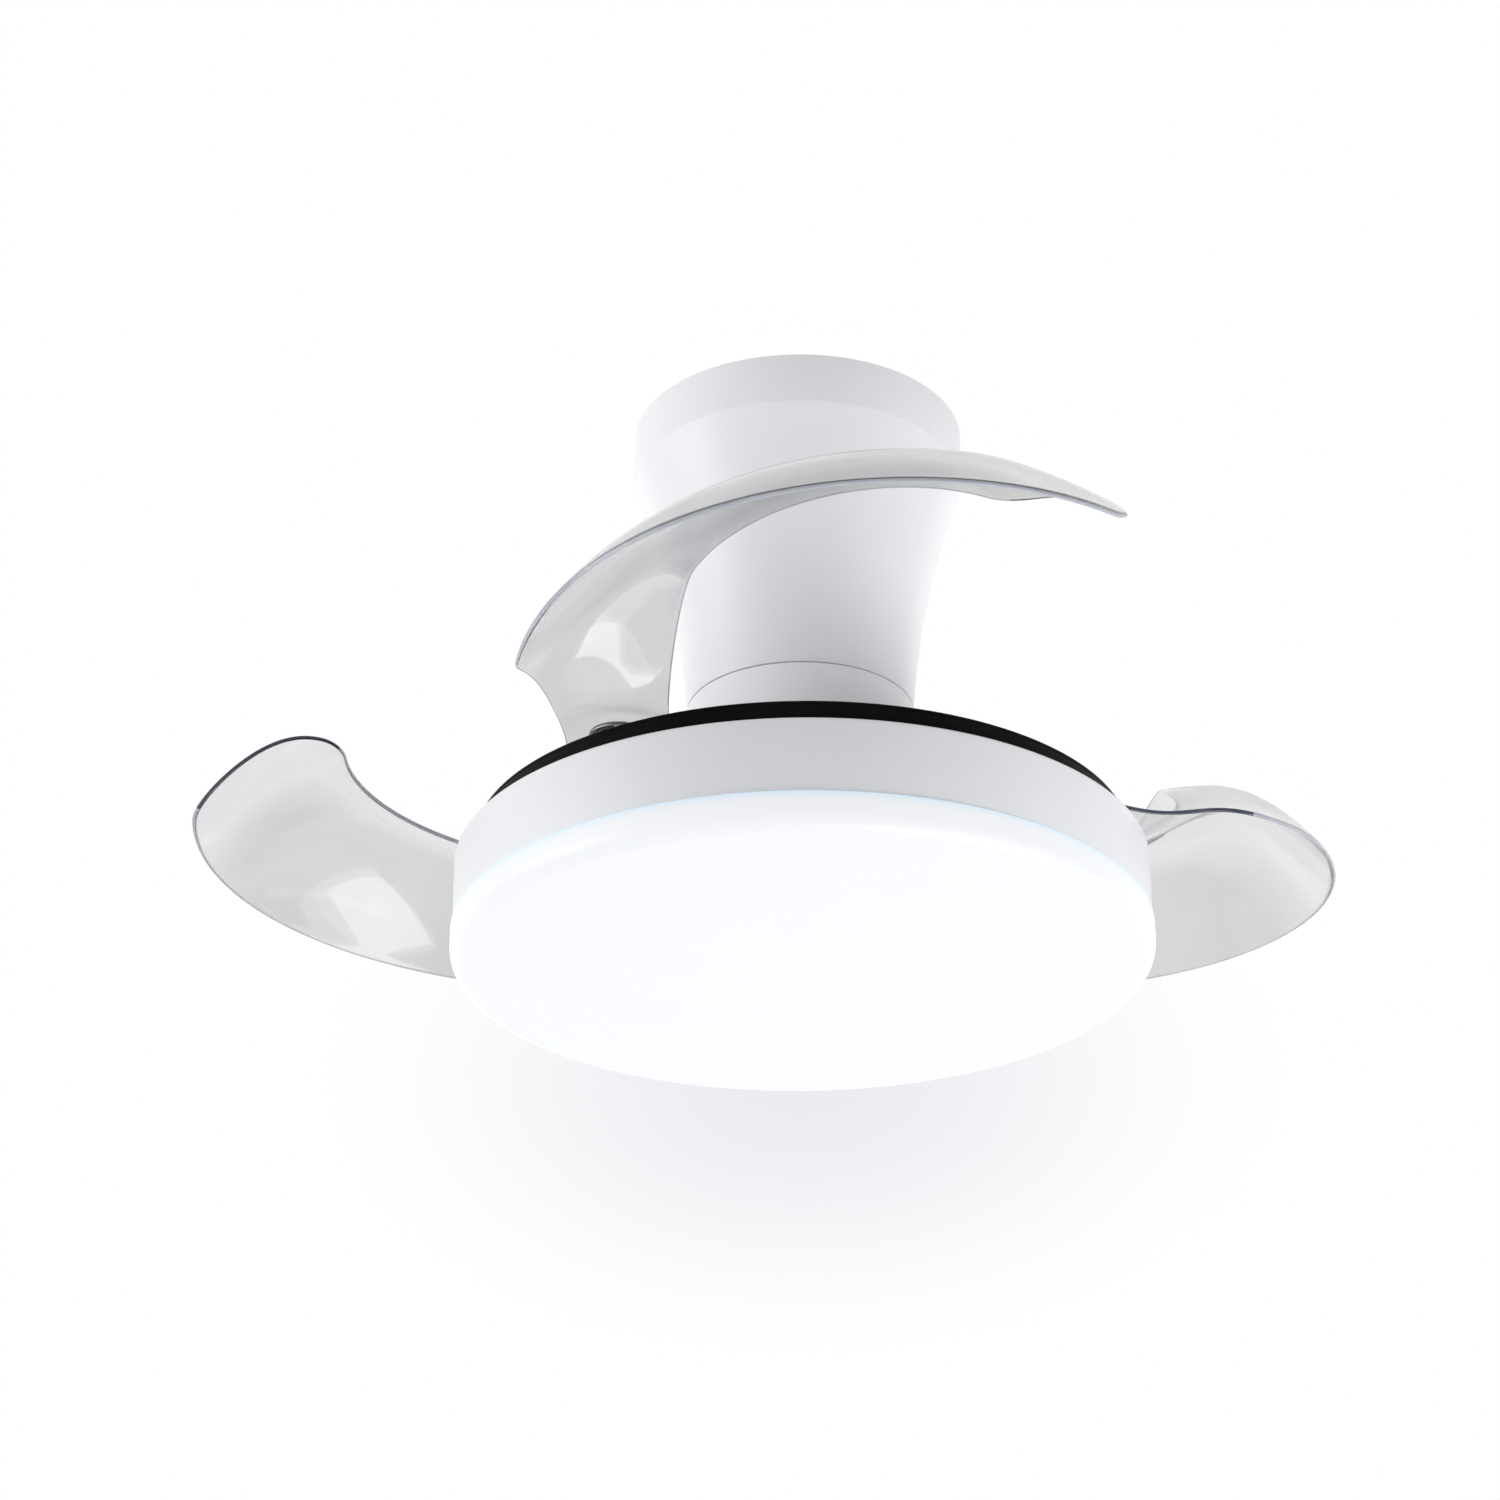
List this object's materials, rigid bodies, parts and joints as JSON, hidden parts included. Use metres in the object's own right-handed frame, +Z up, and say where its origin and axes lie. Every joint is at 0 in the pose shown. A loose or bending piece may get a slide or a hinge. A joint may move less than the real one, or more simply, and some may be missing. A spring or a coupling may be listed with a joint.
{
  "type": "ceiling fan",
  "caption": "Ceiling fan with a flared canopy neck, three clear sickle-shaped blades that fold in over a black tray, and a round white lamp with an opal diffuser below.",
  "frame": {"origin": "middle of the bracket's top face, where the fan is held against the ceiling", "axes": "+Z up, out of the ceiling face; the fan, the blades' pivots and the lamp all turn about axes along Z; -Y is the side the picture was taken from"},
  "size_m": [0.8572, 0.8356, 0.436],
  "materials": {
    "shell_white": "white satin moulding",
    "lamp_white": "white satin ring",
    "tray_black": "black gloss",
    "opal_diffuser": "opal white, lit from inside",
    "clear_blade": "clear, faint grey tint",
    "zinc_plate": "zinc-plated",
    "bright_steel": "bright",
    "spring_steel": "drawn wire",
    "cast_aluminium": "die-cast",
    "copper_winding": "enamelled copper wire",
    "core_steel": "laminated steel and dark magnet",
    "nylon": "natural nylon",
    "white_board": "white solder mask",
    "grey_plastic": "fine texture"
  },
  "bodies": {
    "ceiling_unit": {"ceiling_bracket": "zinc_plate", "hanger_tube": "zinc_plate", "hanger_bolt_1": "bright_steel", "hanger_bolt_2": "bright_steel", "hanger_bolt_3": "bright_steel", "hanger_set_screw": "bright_steel", "receiver_case": "grey_plastic", "receiver_lid": "grey_plastic", "receiver_board": "white_board", "terminal_block": "nylon", "canopy_shell": "shell_white", "canopy_screw_1": "shell_white", "canopy_screw_2": "shell_white", "motor_shaft": "bright_steel", "stator_core": "core_steel", "stator_winding": "copper_winding", "lower_inner_race": "bright_steel", "upper_inner_race": "bright_steel", "lamp_pan": "lamp_white", "lamp_washer": "zinc_plate", "lamp_nut": "zinc_plate", "led_board": "white_board", "board_screw_1": "bright_steel", "board_screw_2": "bright_steel", "board_screw_3": "bright_steel", "led_driver": "grey_plastic"},
    "rotor": {"motor_housing_bottom": "cast_aluminium", "motor_housing_top": "cast_aluminium", "magnet_ring": "core_steel", "lower_outer_race": "bright_steel", "lower_ball_cage": "bright_steel", "upper_outer_race": "bright_steel", "upper_ball_cage": "bright_steel", "rotor_collar": "shell_white", "tray_lid": "tray_black", "tray_base": "tray_black", "motor_screw_1": "bright_steel", "motor_screw_2": "bright_steel", "motor_screw_3": "bright_steel", "tray_screw_1": "bright_steel", "tray_screw_2": "bright_steel", "tray_screw_3": "bright_steel", "pivot_bolt_1": "bright_steel", "pivot_bolt_2": "bright_steel", "pivot_bolt_3": "bright_steel", "return_spring_1": "spring_steel", "return_spring_2": "spring_steel", "return_spring_3": "spring_steel"},
    "blade_arm_1": {"blade_1": "clear_blade", "blade_gear_1": "nylon"},
    "blade_arm_2": {"blade_2": "clear_blade", "blade_gear_2": "nylon"},
    "blade_arm_3": {"blade_3": "clear_blade", "blade_gear_3": "nylon"},
    "timing_ring": {"sync_ring": "nylon"},
    "lamp_cover": {"diffuser": "opal_diffuser"}
  },
  "joints": [
    {"name": "rotor_spin", "type": "hinge", "parent": "ceiling_unit", "child": "rotor", "pos_m": [0, 0, -0.3], "axis": [0, 0, 1], "continuous": true},
    {"name": "blade_1_fold", "type": "hinge", "parent": "rotor", "child": "blade_arm_1", "pos_m": [-0.12311, -0.17259, -0.338], "axis": [0, 0, 1], "range_deg": [0, 68], "stiffness_Nm_per_rad": 0.05, "springref_deg": 80.21},
    {"name": "blade_2_fold", "type": "hinge", "parent": "rotor", "child": "blade_arm_2", "pos_m": [0.21102, -0.02032, -0.338], "axis": [0, 0, 1], "range_deg": [0, 68], "stiffness_Nm_per_rad": 0.05, "springref_deg": 80.21},
    {"name": "blade_3_fold", "type": "hinge", "parent": "rotor", "child": "blade_arm_3", "pos_m": [-0.08791, 0.19291, -0.338], "axis": [0, 0, 1], "range_deg": [0, 68], "stiffness_Nm_per_rad": 0.05, "springref_deg": 80.21},
    {"name": "timing_ring_turn", "type": "hinge", "parent": "rotor", "child": "timing_ring", "pos_m": [0, 0, -0.348], "axis": [0, 0, 1], "range_deg": [-13, 0.5]},
    {"name": "diffuser_twist", "type": "hinge", "parent": "ceiling_unit", "child": "lamp_cover", "pos_m": [0, 0, -0.41], "axis": [0, 0, 1], "range_deg": [0, 15]}
  ],
  "couplings": [
    {"joint": "blade_2_fold", "follows": "blade_1_fold", "ratio": 1},
    {"joint": "blade_3_fold", "follows": "blade_1_fold", "ratio": 1},
    {"joint": "timing_ring_turn", "follows": "blade_1_fold", "ratio": -0.17778}
  ]
}
